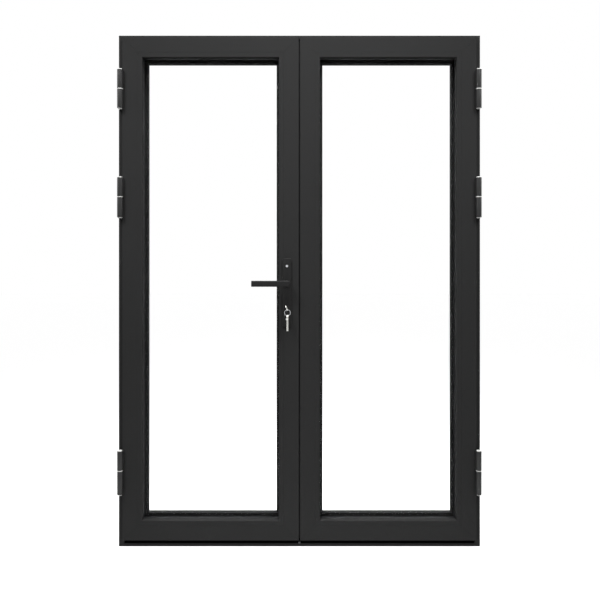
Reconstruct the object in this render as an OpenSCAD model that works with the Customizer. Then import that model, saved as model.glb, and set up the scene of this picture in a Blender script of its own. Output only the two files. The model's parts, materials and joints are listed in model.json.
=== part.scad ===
// French doors: two glazed leaves in a rebated frame, both opening towards the viewer.
// Sizes are in millimetres. +X is to the right, +Y is away from the viewer, +Z is up.
// The origin is the middle of the underside of the threshold.

/* [Frame] */
// Overall width of the frame
frame_w = 1485; // [1300:5:1800]
// Overall height of the frame
frame_h = 2100; // [1950:10:2400]
// Depth of the frame from front to back
frame_d = 70; // [68:1:76]
// Width of the jamb strip seen beside a leaf
jamb_show = 16; // [15:0.5:22]
// Height of the head strip seen above the leaves
head_show = 9.5; // [6:0.5:16]
// Height of the threshold in front of its upstand
sill_h = 12; // [10:0.5:15]
// How far the stop leg reaches in from the frame box
stop_reach = 24; // [20:1:26]
// Depth of the stop leg from front to back
stop_t = 24; // [20:1:24]
// Wall thickness of the frame and leaf profiles
wall = 2; // [1.6:0.1:2.2]

/* [Leaf] */
// Height of the lower edge of a leaf above the floor
leaf_lift = 28; // [22:1:32]
// Depth of a leaf from front to back
leaf_d = 75; // [74:1:80]
// How far the leaf face stands in front of the frame face
leaf_proud = 10; // [9:0.5:11]
// Width of the leaf profile seen from the front
face_w = 82; // [78:1:92]
// Gap between the two leaf faces at the meeting line
meet_gap = 5; // [4.5:0.5:6]
// Thickness of the lap flange round a leaf
lap_t = 6; // [5:0.5:6]
// How far a corner cleat reaches past the width of the hollow
cleat_past = 45; // [30:1:80]
// How far the outer leg reaches past the sight line of the beads
leg_past = 11; // [6:0.5:14]

/* [Glazing] */
// Width of the glazing bead seen from the front
bead_w = 20; // [18:0.5:22]
// Depth of the glazing bead
bead_d = 21; // [20:0.5:22]
// Thickness of each pane
pane_t = 4; // [4:0.5:5]
// Space between the two panes
cavity = 16; // [14:1:16]
// Thickness of the glazing seals on either face of the glass
seal_t = 4; // [3:0.5:4]
// Length of the setting blocks under the glass
block_len = 100; // [60:1:140]

/* [Hinges] */
// Diameter of the hinge barrels
barrel_d = 23; // [20:0.5:23]
// Diameter of the hinge pins
pin_d = 12; // [8:0.5:13]
// Length of the upper knuckle, carried by the leaf
leaf_knuckle_h = 77; // [60:1:100]
// Length of the top hinge's lower knuckle, carried by the frame
top_knuckle_h = 76; // [60:1:100]
// Length of the middle hinge's lower knuckle, carried by the frame
mid_knuckle_h = 81; // [60:1:100]
// Length of the bottom hinge's lower knuckle, carried by the frame
low_knuckle_h = 95; // [60:1:110]
// Thickness of the washer between two knuckles
washer_t = 3.5; // [1.5:0.5:4]
// Distance from the top of the frame down to the top hinge washer
hinge_drop = 225; // [150:1:300]
// Distance from the top hinge washer down to the middle one
hinge_step = 440; // [250:1:600]
// Height of the bottom hinge washer
hinge_low_z = 320; // [200:1:450]

/* [Lock and handle] */
// Distance of the handle axis from the meeting line
backset = 51; // [48:0.5:54]
// Height of the handle axis
lever_z = 1083; // [1000:1:1110]
// Distance from the handle axis down to the key axis
lock_centres = 99; // [90:1:105]
// Width of the handle plate
plate_w = 36; // [34:0.5:40]
// Thickness of the handle plate
plate_t = 8; // [6:0.5:10]
// Length of the handle plate above the handle axis
plate_up = 101; // [96:1:112]
// Length of the handle plate below the handle axis
plate_down = 178; // [172:1:186]
// Distance of a plate screw from the end of its plate
screw_end = 31; // [28:0.5:34]
// Length of the lever from its axis to its tip
lever_len = 141; // [120:1:145]
// Height of the lever arm
lever_h = 24; // [19:0.5:26]
// Thickness of the lever arm from front to back
lever_t = 13; // [10:0.5:16]
// Distance of the lever arm's middle from the leaf face
lever_out = 58; // [56:0.5:62]
// Length of the lock case above the handle axis
case_up = 57; // [54:1:64]
// Length of the lock case below the key axis
case_down = 41; // [38:1:46]
// How far the lock's plates run past what they cover
plate_past = 25; // [24:1:40]
// Height of the latch bolt above the handle axis
latch_rise = 30; // [28:0.5:34]
// Distance of the deadbolt below the handle axis
dead_drop = 42; // [40:0.5:46]
// Length of the deadbolt
dead_len = 36; // [32:0.5:42]
// Length of the latch bolt
latch_len = 57; // [44:0.5:58]
// Throw of the latch bolt
latch_throw = 14; // [13.5:0.5:15]
// Diameter of the flush bolts
flush_d = 8; // [6:0.5:8.5]

/* [Keys] */
// Diameter of the bow of the key in the lock
bow_d = 26; // [26:0.5:28]
// Tilt of the key in the lock from upright
key_tilt = 22; // [15:1:28]
// Middle radius of the key ring
ring_r = 12; // [11.5:0.5:16]
// Length of a spare key
spare_len = 66; // [58:1:74]
// Length of the key's blade inside the lock
blade_in = 30; // [24:0.5:36]

/* [Fixings] */
// Diameter of the fixing holes through the jambs
fix_d = 8; // [6:0.5:10]
// Distance of each fixing hole from the end of its jamb
fix_end = 150; // [120:5:180]

/* [Hidden] */
$fn = 48;
arc_n = 6;
eps = 0.5;

frame_front = -frame_d / 2;
frame_back = frame_d / 2;
frame_lap = 6;
lap_over = frame_lap + 2;
stop_gap = 4;
chamfer = 1;
box_jamb = jamb_show + frame_lap;
box_head = head_show + frame_lap;
stop_face = frame_back - stop_t;

leaf_front = frame_front - leaf_proud;
leaf_back = leaf_front + leaf_d;
step_y = stop_face - stop_gap;
hinge_edge = frame_w / 2 - jamb_show;
leaf_w = hinge_edge - meet_gap / 2;
leaf_h = frame_h - head_show - leaf_lift;
lap_back = leaf_front + lap_t;
rear_u = frame_lap + stop_reach + stop_gap;
meet_u = 4;
rebate_u = face_w - bead_w;
leg_tip = face_w + leg_past;
upstand_z = leaf_lift + frame_lap + stop_reach;
seal_inset = 4;
seal_strip = 14;
tip_seal_w = 5;

bead_back = leaf_front + bead_d;
glass_front = bead_back + seal_t;
glass_mid = glass_front + pane_t;
glass_mid_back = glass_mid + cavity;
glass_back = glass_mid_back + pane_t;
leg_y = glass_back + seal_t;
glass_u = rebate_u + 4;
web_y = leaf_front + 25;
web_back = web_y + wall;

hinge_x = frame_w / 2 - barrel_d / 2;
hinge_y = leaf_front - 0.5 - barrel_d / 2;
hinge_zs = [hinge_low_z, frame_h - hinge_drop - hinge_step, frame_h - hinge_drop];
lower_hs = [low_knuckle_h, mid_knuckle_h, top_knuckle_h];
pin_short = 10;
pin_fit = 0.06;
press_fit = 0.02;
cap_t = 4;

plate_y = leaf_front - plate_t;
arm_y = leaf_front - lever_out;
key_z = lever_z - lock_centres;
plate_screw_up = plate_up - screw_end;
plate_screw_down = plate_down - screw_end;
journal_r = 9;
spindle_a = 8;
lock_t = 16;
lock_mid_y = web_back + lock_t / 2;
case_top = lever_z + case_up;
case_low = key_z - case_down;
case_edge = meet_gap / 2 + meet_u + wall;
case_deep = meet_gap / 2 + rebate_u - wall;
face_x = meet_gap / 2 + 1;
faceplate_t = meet_u - 1;
faceplate_w = 22;
bolt_t = 12;
latch_h = 18;
dead_h = 25;
latch_z = lever_z + latch_rise;
dead_z = lever_z - dead_drop;
bolt_slack = 0.05;
lip_y = lock_mid_y - 19;

cyl_r = 8.5;
cyl_stem = 24.5;
cyl_front = plate_y - 4;
cyl_back = leaf_back + plate_t + 4;
plug_r = 6.5;
plug_fit = 0.05;
plug_len = 45;
bow_t = 3.2;
bow_y = cyl_front - 7 - bow_d / 2;
ring_wire = 1.3;
ring_hang = bow_d / 2 - 5;
ring_x = -backset + ring_hang * sin(key_tilt);
ring_z = key_z - ring_hang * cos(key_tilt) - ring_r;
spare_t = 2.2;
spare_pitch = 2.4;
spare_hole_drop = 1;

flush_in = 13;
flush_x = meet_gap / 2 + flush_in;
flush_y = web_back + 6;
flush_fit = 0.06;
flush_up_travel = 12;
flush_down_travel = leaf_lift + lap_over - 2 * wall;
flush_len = 240;
keep_t = 1.3;
keep_w = 20;
keep_short = 8;
keep_long = 26;
pad_w = 8;
pad_h = 4;
pad_d = 14;

function arc(cx, cy, r, a0) =
    [for (i = [0 : arc_n]) [cx + r * cos(a0 + 90 * i / arc_n), cy + r * sin(a0 + 90 * i / arc_n)]];

function rounded(w, h, r) = concat(
    arc(w / 2 - r, h / 2 - r, r, 0),
    arc(-w / 2 + r, h / 2 - r, r, 90),
    arc(-w / 2 + r, -h / 2 + r, r, 180),
    arc(w / 2 - r, -h / 2 + r, r, 270)
);

// A box given by its two opposite corners
module block(a, b) {
    translate(a) cube(b - a);
}

// A prism along Y whose outline is drawn in X and Z
module slab(points, y0, y1) {
    translate([0, y1, 0]) rotate([90, 0, 0]) linear_extrude(y1 - y0) polygon(points);
}

// A round bar or hole along Y
module rod_y(x, z, r, y0, y1) {
    translate([x, y1, z]) rotate([90, 0, 0]) cylinder(r = r, h = y1 - y0);
}

// A round bar or hole along X
module rod_x(y, z, r, x0, x1) {
    translate([x0, y, z]) rotate([0, 90, 0]) cylinder(r = r, h = x1 - x0);
}

// A bar along X: the section's first coordinate points up, its second points back
module bar_x(x0, x1) {
    translate([x1, 0, 0]) rotate([0, -90, 0]) linear_extrude(x1 - x0) children();
}

// Puts a part of the left leaf in its place
module at_left() {
    translate([-hinge_edge, 0, leaf_lift]) children();
}

// Puts a part of the right leaf in its place
module at_right() {
    mirror([1, 0, 0]) at_left() children();
}

// Section of a frame member: a box with a stop leg at its back
module frame_section(box, reach) {
    difference() {
        polygon([
            [0, frame_front], [box, frame_front], [box, stop_face],
            [box + reach, stop_face], [box + reach, frame_back], [0, frame_back]
        ]);
        polygon([
            [wall, frame_front + wall], [box - wall, frame_front + wall], [box - wall, stop_face + wall],
            [box + reach - wall, stop_face + wall], [box + reach - wall, frame_back - wall],
            [wall, frame_back - wall]
        ]);
    }
}

module jamb_bar() {
    difference() {
        translate([-frame_w / 2, 0, 0]) linear_extrude(frame_h) frame_section(box_jamb, stop_reach);
        for (z = [fix_end, frame_h - fix_end])
            rod_x(frame_front + 24, z, fix_d / 2, -frame_w / 2 - eps, -frame_w / 2 + box_jamb + eps);
    }
}

// Space taken by the two jambs where the head and the threshold butt against them
module jamb_legs() {
    for (side = [-1, 1])
        translate([side * (frame_w / 2 - box_jamb - stop_reach / 2), frame_back, frame_h / 2])
            cube([stop_reach, 2 * stop_t, frame_h + 4], center = true);
}

module left_jamb() {
    color("#37393b") jamb_bar();
}

module right_jamb() {
    color("#37393b") mirror([1, 0, 0]) jamb_bar();
}

module head() {
    run = frame_w / 2 - box_jamb;
    color("#37393b")
        difference() {
            translate([0, 0, frame_h]) mirror([0, 0, 1])
                bar_x(-run, run) frame_section(box_head, stop_reach);
            jamb_legs();
            translate([flush_x, flush_y, frame_h - box_head - eps])
                cylinder(d = flush_d + 1, h = wall + 2 * eps);
        }
}

module threshold() {
    run = frame_w / 2 - box_jamb;
    color("#37393b")
        difference() {
            bar_x(-run, run) frame_section(sill_h, upstand_z - sill_h);
            jamb_legs();
            translate([flush_x, flush_y, sill_h - wall - eps])
                cylinder(d = flush_d + 1, h = wall + 2 * eps);
        }
}

// Weather seals on the front of the stop legs
module frame_seals() {
    seal_front = step_y + 0.3;
    inner = frame_w / 2 - box_jamb - stop_reach + seal_inset;
    outer = frame_w / 2 - box_jamb - seal_inset;
    low = upstand_z - seal_strip;
    high = frame_h - box_head - stop_reach + seal_inset;
    color("#1b1c1d") {
        for (side = [-1, 1])
            translate([side * (inner + outer) / 2, seal_front, low])
                translate([(inner - outer) / 2, 0, 0])
                    cube([outer - inner, stop_face - seal_front, high + seal_strip - low]);
        block([-inner, seal_front, low], [inner, stop_face, upstand_z - seal_inset]);
        block([-inner, seal_front, high], [inner, stop_face, high + seal_strip]);
    }
}

// The lower knuckles of one side, with their feet on the jamb
module frame_knuckle_set() {
    for (i = [0 : 2])
        translate([-hinge_x, 0, hinge_zs[i] - washer_t / 2 - lower_hs[i]])
            difference() {
                union() {
                    translate([0, hinge_y, 0]) cylinder(d = barrel_d, h = lower_hs[i]);
                    block([-barrel_d / 2 + 1, hinge_y, 0], [3, frame_front, lower_hs[i]]);
                }
                translate([0, hinge_y, -eps])
                    cylinder(r = pin_d / 2 + press_fit, h = lower_hs[i] + 2 * eps);
            }
}

module left_frame_knuckles() {
    color("#2c2d2f") frame_knuckle_set();
}

module right_frame_knuckles() {
    color("#2c2d2f") mirror([1, 0, 0]) frame_knuckle_set();
}

module hinge_pins() {
    color("#b9bcc0")
        for (side = [-1, 1], i = [0 : 2])
            translate([side * hinge_x, hinge_y, hinge_zs[i] - washer_t / 2 - lower_hs[i]])
                cylinder(d = pin_d, h = lower_hs[i] + washer_t + leaf_knuckle_h - pin_short);
}

module hinge_washers() {
    color("#e9e9e6")
        for (side = [-1, 1], z = hinge_zs)
            translate([side * hinge_x, hinge_y, z - washer_t / 2])
                difference() {
                    cylinder(d = barrel_d, h = washer_t);
                    translate([0, 0, -eps]) cylinder(r = pin_d / 2 + press_fit, h = washer_t + 2 * eps);
                }
}

module frame_knuckle_caps() {
    color("#e9e9e6")
        for (side = [-1, 1], i = [0 : 2])
            translate([side * hinge_x, hinge_y, hinge_zs[i] - washer_t / 2 - lower_hs[i] - cap_t])
                cylinder(d = barrel_d - 5, h = cap_t);
}

// Plate that takes the upper flush bolt, under the head
module head_bolt_keep() {
    z = frame_h - box_head;
    color("#2c2d2f")
        difference() {
            block(
                [flush_x - keep_short, flush_y - keep_w / 2, z - keep_t],
                [flush_x + keep_long, flush_y + keep_w / 2, z]
            );
            translate([flush_x, flush_y, z - keep_t - eps]) cylinder(d = flush_d + 1, h = keep_t + 2 * eps);
        }
}

// Plate that takes the lower flush bolt, on the threshold
module sill_bolt_keep() {
    color("#2c2d2f")
        difference() {
            block(
                [flush_x - keep_short, flush_y - keep_w / 2, sill_h],
                [flush_x + keep_long, flush_y + keep_w / 2, sill_h + keep_t]
            );
            translate([flush_x, flush_y, sill_h - eps]) cylinder(d = flush_d + 1, h = keep_t + 2 * eps);
        }
}

// Pale pad that closes the gap under the meeting line
module sill_centre_pad() {
    foot = pad_w / 2;
    crest = pad_w / 2 - 1.5;
    top = sill_h + pad_h;
    color("#8f9294")
        slab(
            [[-foot, sill_h], [foot, sill_h], [crest, top], [-crest, top]],
            frame_front, frame_front + pad_d
        );
}

// Section of a leaf member beside the frame: u runs in from the leaf edge, y runs back
module lap_section() {
    difference() {
        polygon([
            [0, leaf_front + chamfer], [chamfer, leaf_front], [rebate_u, leaf_front], [rebate_u, leg_y],
            [leg_tip, leg_y], [leg_tip, leaf_back], [rear_u, leaf_back], [rear_u, step_y],
            [lap_over, step_y], [lap_over, lap_back], [0, lap_back]
        ]);
        translate([lap_over + wall, leaf_front + wall])
            square([rebate_u - lap_over - 2 * wall, web_y - leaf_front - wall]);
        translate([lap_over + wall, web_back])
            square([rebate_u - lap_over - 2 * wall, step_y - wall - web_back]);
        translate([rear_u + wall, leg_y + wall])
            square([leg_tip - rear_u - 2 * wall, leaf_back - leg_y - 2 * wall]);
    }
}

// Section of a leaf member at the meeting line
module meeting_section() {
    difference() {
        polygon([
            [0, leaf_front + chamfer], [chamfer, leaf_front], [rebate_u, leaf_front], [rebate_u, leg_y],
            [leg_tip, leg_y], [leg_tip, leaf_back], [meet_u, leaf_back], [meet_u, lap_back], [0, lap_back]
        ]);
        translate([meet_u + wall, leaf_front + wall])
            square([rebate_u - meet_u - 2 * wall, web_y - leaf_front - wall]);
        translate([meet_u + wall, web_back])
            square([rebate_u - meet_u - 2 * wall, leaf_back - wall - web_back]);
        translate([rebate_u, leg_y + wall])
            square([leg_tip - rebate_u - wall, leaf_back - leg_y - 2 * wall]);
    }
}

// Outline of an upright member between its two mitres, drawn in X and Z
module upright_mitre(m) {
    slab([[0, 0], [m, m], [m, leaf_h - m], [0, leaf_h]], leaf_front - eps, leaf_back + eps);
}

// Outline of a lower member between its two mitres, drawn in X and Z
module level_mitre(m) {
    slab([[0, 0], [leaf_w, 0], [leaf_w - m, m], [m, m]], leaf_front - eps, leaf_back + eps);
}

module hinge_stile() {
    intersection() {
        linear_extrude(leaf_h) lap_section();
        upright_mitre(leg_tip);
    }
}

module meeting_stile() {
    difference() {
        translate([leaf_w, 0, 0]) mirror([1, 0, 0])
            intersection() {
                linear_extrude(leaf_h) meeting_section();
                upright_mitre(leg_tip);
            }
        for (z = [0, leaf_h]) {
            block([leaf_w - rear_u, step_y, z - rear_u], [leaf_w, leaf_back + eps, z + rear_u]);
            block([leaf_w - rear_u, lap_back, z - lap_over], [leaf_w, leaf_back + eps, z + lap_over]);
        }
    }
}

module bottom_rail() {
    intersection() {
        bar_x(0, leaf_w) lap_section();
        level_mitre(leg_tip);
    }
}

module top_rail() {
    translate([0, 0, leaf_h]) mirror([0, 0, 1]) bottom_rail();
}

// Upright holes for a flush bolt where it leaves the end of the leaf
module flush_hole() {
    translate([leaf_w - flush_in, flush_y, -eps])
        cylinder(r = flush_d / 2 + flush_fit, h = leaf_h + 2 * eps);
}

// One corner cleat in the front chamber, for the lower corner at the hinge side
module cleat() {
    a = lap_over + wall;
    b = rebate_u - wall;
    reach = b + cleat_past;
    block([a + 0.1, leaf_front + wall, a + 0.1], [b - 0.1, web_y, reach]);
    block([b - 0.1, leaf_front + wall, a + 0.1], [reach, web_y, b - 0.1]);
}

module corner_cleats() {
    cleat();
    translate([leaf_w, 0, 0]) mirror([1, 0, 0]) cleat();
    translate([0, 0, leaf_h]) mirror([0, 0, 1]) cleat();
    translate([leaf_w, 0, leaf_h]) mirror([0, 0, 1]) mirror([1, 0, 0]) cleat();
}

module bead_section() {
    t = 1.5;
    e = 0.8;
    difference() {
        polygon([
            [rebate_u, leaf_front + e / 2], [rebate_u + e / 2, leaf_front], [face_w - e, leaf_front],
            [face_w, leaf_front + e], [face_w, bead_back], [rebate_u, bead_back]
        ]);
        translate([rebate_u + t, leaf_front + t]) square([bead_w - 2 * t, bead_d - 2 * t]);
    }
}

// Four beads that meet at hairline mitres
module glazing_beads() {
    slit = 0.1;
    for (side = [0, 1]) {
        translate([side * leaf_w, 0, 0]) mirror([side, 0, 0])
            intersection() {
                linear_extrude(leaf_h) bead_section();
                translate([-slit, 0, 0]) upright_mitre(face_w);
            }
        translate([0, 0, side * leaf_h]) mirror([0, 0, side])
            intersection() {
                bar_x(0, leaf_w) bead_section();
                translate([0, 0, -slit]) level_mitre(face_w);
            }
    }
}

// A flat frame round the glass, from one distance inside the leaf edge to another
module glass_frame(u0, u1, y0, y1) {
    difference() {
        block([u0, y0, u0], [leaf_w - u0, y1, leaf_h - u0]);
        block([u1, y0 - eps, u1], [leaf_w - u1, y1 + eps, leaf_h - u1]);
    }
}

module pane(y0) {
    block([glass_u, y0, glass_u], [leaf_w - glass_u, y0 + pane_t, leaf_h - glass_u]);
}

module glass_spacer() {
    glass_frame(glass_u, face_w - 2, glass_mid, glass_mid_back);
}

module glazing_seals() {
    glass_frame(glass_u + 4, face_w - 1, bead_back, glass_front);
    glass_frame(leg_tip - tip_seal_w, leg_tip, glass_back, leg_y);
}

module setting_blocks() {
    for (p = [leaf_w / 4, 3 * leaf_w / 4])
        block([p - block_len / 2, glass_front, rebate_u], [p + block_len / 2, glass_back, glass_u]);
}

// The upper knuckles of the left leaf, with their feet on the leaf face
module leaf_knuckle_set() {
    for (z = hinge_zs)
        translate([-hinge_x, 0, z + washer_t / 2])
            difference() {
                union() {
                    translate([0, hinge_y, 0]) cylinder(d = barrel_d, h = leaf_knuckle_h);
                    block(
                        [hinge_x - hinge_edge + 0.1, hinge_y, 0],
                        [barrel_d / 2 - 0.3, leaf_front, leaf_knuckle_h]
                    );
                }
                translate([0, hinge_y, -eps])
                    cylinder(r = pin_d / 2 + pin_fit, h = leaf_knuckle_h + 2 * eps);
            }
}

module leaf_cap_set() {
    for (z = hinge_zs)
        translate([-hinge_x, hinge_y, z + washer_t / 2 + leaf_knuckle_h])
            cylinder(d = barrel_d - 5, h = cap_t);
}

// Lap seals on the hinge side and the top, and two lips at the meeting line
module leaf_seals(front_tip, rear_tip) {
    lap = frame_front - 0.3;
    edge = leaf_w - meet_u;
    block([1, lap_back, lap_over], [frame_lap - 0.5, lap, leaf_h - 1]);
    block([frame_lap - 0.5, lap_back, leaf_h - frame_lap + 0.5], [edge, lap, leaf_h - 1]);
    block([edge, lap_back + 1, lap_over], [leaf_w + front_tip, lap_back + 4, leaf_h - lap_over]);
    block([edge, lip_y, lap_over], [leaf_w + rear_tip, lip_y + 3, leaf_h - lap_over]);
}

module left_hinge_stile() {
    color("#303234") at_left() hinge_stile();
}

// Outline of the lock cylinder, enlarged by a clearance
module cylinder_shape(c) {
    rod_y(-backset, key_z, cyl_r + c, cyl_front - eps, cyl_back + eps);
    block(
        [-backset - 5 - c, cyl_front - eps, key_z - cyl_stem - c],
        [-backset + 5 + c, cyl_back + eps, key_z]
    );
}

// Holes for the handle plate screws
module plate_screw_holes(r) {
    for (dz = [plate_screw_up, -plate_screw_down])
        rod_y(-backset, lever_z + dz, r, plate_y - eps, leaf_back + plate_t + eps);
}

module left_lock_stile() {
    color("#303234")
        difference() {
            at_left() meeting_stile();
            rod_y(-backset, lever_z, journal_r + 2, leaf_front - eps, leaf_front + wall + eps);
            rod_y(-backset, lever_z, 6.5, leaf_front, web_back + eps);
            cylinder_shape(0.3);
            plate_screw_holes(2.75);
            block(
                [-case_edge - eps, web_back, case_low],
                [-meet_gap / 2 - meet_u + eps, web_back + lock_t, case_top]
            );
        }
}

module left_top_rail() {
    color("#303234") at_left() top_rail();
}

module left_bottom_rail() {
    color("#303234") at_left() bottom_rail();
}

module left_corner_cleats() {
    color("#9b9ea2") at_left() corner_cleats();
}

module left_glazing_beads() {
    color("#2b2d2f") at_left() glazing_beads();
}

module left_inner_pane() {
    color("#dfe9ec", 0.3) at_left() pane(glass_front);
}

module left_outer_pane() {
    color("#dfe9ec", 0.3) at_left() pane(glass_mid_back);
}

module left_glass_spacer() {
    color("#7d8083") at_left() glass_spacer();
}

module left_glazing_seals() {
    color("#1b1c1d") at_left() glazing_seals();
}

module left_setting_blocks() {
    color("#3f4a57") at_left() setting_blocks();
}

module left_leaf_knuckles() {
    color("#2c2d2f") leaf_knuckle_set();
}

module left_knuckle_caps() {
    color("#e9e9e6") leaf_cap_set();
}

module left_leaf_seals() {
    color("#1b1c1d") at_left() leaf_seals(meet_gap / 2 + 0.8, meet_gap / 2 - 0.8);
}

module right_hinge_stile() {
    color("#303234") at_right() hinge_stile();
}

module right_meeting_stile() {
    color("#303234")
        difference() {
            at_right() meeting_stile();
            at_right() flush_hole();
            bolt_slot(latch_z, latch_h);
            bolt_slot(dead_z, dead_h);
            flush_slots();
        }
}

// Slot behind the strike plate where a lock bolt enters the right leaf
module bolt_slot(z, h) {
    edge = meet_gap / 2 + meet_u;
    block(
        [edge - eps, lock_mid_y - bolt_t / 2 - 2, z - h / 2 - 3],
        [edge + wall + eps, lock_mid_y + bolt_t / 2 + 2, z + h / 2 + 3]
    );
}

// Slots in the meeting edge for the thumb pieces of the flush bolts
module flush_slots() {
    edge = meet_gap / 2 + meet_u;
    top = frame_h - head_show - lap_over - flush_len;
    low = leaf_lift + lap_over + flush_len;
    translate([edge - eps, flush_y - 3, top + 8]) cube([wall + 2 * eps, 6, 16 + flush_up_travel]);
    translate([edge - eps, flush_y - 3, low - 24 - flush_down_travel])
        cube([wall + 2 * eps, 6, 16 + flush_down_travel]);
}

module right_top_rail() {
    color("#303234")
        at_right()
            difference() {
                top_rail();
                flush_hole();
            }
}

module right_bottom_rail() {
    color("#303234")
        at_right()
            difference() {
                bottom_rail();
                flush_hole();
            }
}

module right_corner_cleats() {
    color("#9b9ea2") at_right() corner_cleats();
}

module right_glazing_beads() {
    color("#2b2d2f") at_right() glazing_beads();
}

module right_inner_pane() {
    color("#dfe9ec", 0.3) at_right() pane(glass_front);
}

module right_outer_pane() {
    color("#dfe9ec", 0.3) at_right() pane(glass_mid_back);
}

module right_glass_spacer() {
    color("#7d8083") at_right() glass_spacer();
}

module right_glazing_seals() {
    color("#1b1c1d") at_right() glazing_seals();
}

module right_setting_blocks() {
    color("#3f4a57") at_right() setting_blocks();
}

module right_leaf_knuckles() {
    color("#2c2d2f") mirror([1, 0, 0]) leaf_knuckle_set();
}

module right_knuckle_caps() {
    color("#e9e9e6") mirror([1, 0, 0]) leaf_cap_set();
}

module right_leaf_seals() {
    color("#1b1c1d") at_right() leaf_seals(meet_gap / 2 - 1.2, meet_gap / 2 + 0.2);
}

module lock_case() {
    t = 1.5;
    color("#8d9094")
        difference() {
            block([-case_deep, web_back, case_low], [-case_edge + wall, web_back + lock_t, case_top]);
            block(
                [-case_deep + t, web_back + t, case_low + t],
                [-case_edge + wall + eps, web_back + lock_t - t, case_top - t]
            );
            rod_y(-backset, lever_z, 6.5, web_back - eps, web_back + lock_t + eps);
            cylinder_shape(0.3);
        }
}

module lock_faceplate() {
    y0 = lock_mid_y - faceplate_w / 2;
    color("#a9acb0")
        difference() {
            block(
                [-face_x - faceplate_t, y0, case_low - plate_past],
                [-face_x, y0 + faceplate_w, case_top + plate_past]
            );
            bolt_hole(-face_x - faceplate_t, latch_z, latch_h, bolt_slack);
            bolt_hole(-face_x - faceplate_t, dead_z, dead_h, bolt_slack);
            faceplate_screw_holes(2.1);
        }
}

// Hole for a lock bolt through a plate on the meeting edge
module bolt_hole(x, z, h, c) {
    block(
        [x - eps, lock_mid_y - bolt_t / 2 - c, z - h / 2 - c],
        [x + faceplate_t + eps, lock_mid_y + bolt_t / 2 + c, z + h / 2 + c]
    );
}

module faceplate_screw_holes(r) {
    for (z = [case_low - plate_past + 10, case_top + plate_past - 10])
        rod_x(lock_mid_y, z, r, -face_x - faceplate_t - eps, -face_x + eps);
}

module faceplate_screws() {
    color("#b9bcc0")
        for (z = [case_low - plate_past + 10, case_top + plate_past - 10])
            rod_x(lock_mid_y, z, 2.1, -face_x - faceplate_t, -face_x);
}

module handle_plate() {
    mid = (plate_up - plate_down) / 2;
    color("#2c2d2f")
        difference() {
            translate([-backset, 0, lever_z + mid])
                slab(rounded(plate_w, plate_up + plate_down, 8), plate_y, leaf_front);
            rod_y(-backset, lever_z, journal_r + 0.05, plate_y - eps, leaf_front + eps);
            cylinder_shape(0.3);
            plate_screw_holes(2.75);
            for (dz = [plate_screw_up, -plate_screw_down])
                rod_y(-backset, lever_z + dz, 6, plate_y - eps, plate_y + 3);
        }
}

module plate_screws() {
    color("#b9bcc0")
        for (dz = [plate_screw_up, -plate_screw_down])
            difference() {
                union() {
                    rod_y(-backset, lever_z + dz, 5, plate_y + 0.5, plate_y + 3);
                    rod_y(-backset, lever_z + dz, 2.5, plate_y + 2, leaf_back + plate_t - 2);
                }
                translate([-backset, plate_y + 0.5, lever_z + dz]) rotate([90, 0, 0])
                    cylinder(r = 1.8, h = 3, center = true, $fn = 6);
            }
}

module outer_plate() {
    mid = (plate_up - plate_down) / 2;
    color("#2c2d2f")
        difference() {
            translate([-backset, 0, lever_z + mid])
                slab(rounded(plate_w, plate_up + plate_down, 8), leaf_back, leaf_back + plate_t);
            cylinder_shape(0.3);
            for (dz = [plate_screw_up, -plate_screw_down])
                rod_y(-backset, lever_z + dz, 2.6, leaf_back - eps, leaf_back + plate_t - 2);
        }
}

module cylinder_body() {
    color("#2a2b2c")
        difference() {
            union() {
                rod_y(-backset, key_z, cyl_r, cyl_front, cyl_back);
                block([-backset - 5, cyl_front, key_z - cyl_stem], [-backset + 5, cyl_back, key_z]);
            }
            rod_y(-backset, key_z, plug_r + plug_fit, cyl_front - eps, cyl_front + plug_len);
        }
}

module lever() {
    color("#2c2d2f")
        difference() {
            union() {
                rod_y(-backset, lever_z, lever_h / 2, arm_y, plate_y - 0.3);
                rod_y(-backset, lever_z, journal_r, plate_y - 1, leaf_front);
                translate([0, arm_y, lever_z])
                    bar_x(-backset - lever_len, -backset + lever_h / 2)
                        polygon(rounded(lever_h, lever_t, 4));
            }
            block(
                [-backset - spindle_a / 2, plate_y - 20, lever_z - spindle_a / 2],
                [-backset + spindle_a / 2, leaf_front + eps, lever_z + spindle_a / 2]
            );
        }
}

module spindle() {
    color("#9b9ea2")
        block(
            [-backset - spindle_a / 2, plate_y - 20, lever_z - spindle_a / 2],
            [-backset + spindle_a / 2, web_back + lock_t - 0.5, lever_z + spindle_a / 2]
        );
}

// Bevelled bolt drawn back by the lever
module latch_bolt() {
    tip = -face_x + latch_throw;
    tail = tip - latch_len;
    y0 = lock_mid_y - bolt_t / 2;
    y1 = lock_mid_y + bolt_t / 2;
    color("#b9bcc0")
        translate([0, 0, latch_z - latch_h / 2])
            linear_extrude(latch_h)
                polygon([[tail, y0], [tip, y0], [tip, y0 + 2], [tip - 10, y1], [tail, y1]]);
}

// Square bolt thrown by the key
module deadbolt() {
    color("#b9bcc0")
        block(
            [-face_x - dead_len, lock_mid_y - bolt_t / 2, dead_z - dead_h / 2],
            [-face_x, lock_mid_y + bolt_t / 2, dead_z + dead_h / 2]
        );
}

// Puts a part in the plane of the key in the lock: first coordinate across, second forwards
module key_plane(t) {
    translate([-backset, 0, key_z]) rotate([0, -key_tilt, 0]) rotate([0, 90, 0])
        translate([0, 0, -t / 2]) linear_extrude(t) children();
}

module cylinder_plug() {
    color("#2a2b2c")
        difference() {
            rod_y(-backset, key_z, plug_r, cyl_front, cyl_front + plug_len - 0.5);
            key_plane(bow_t + 0.1) translate([-4.05, cyl_front - eps]) square([8.1, blade_in + 0.1 + eps]);
        }
}

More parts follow.
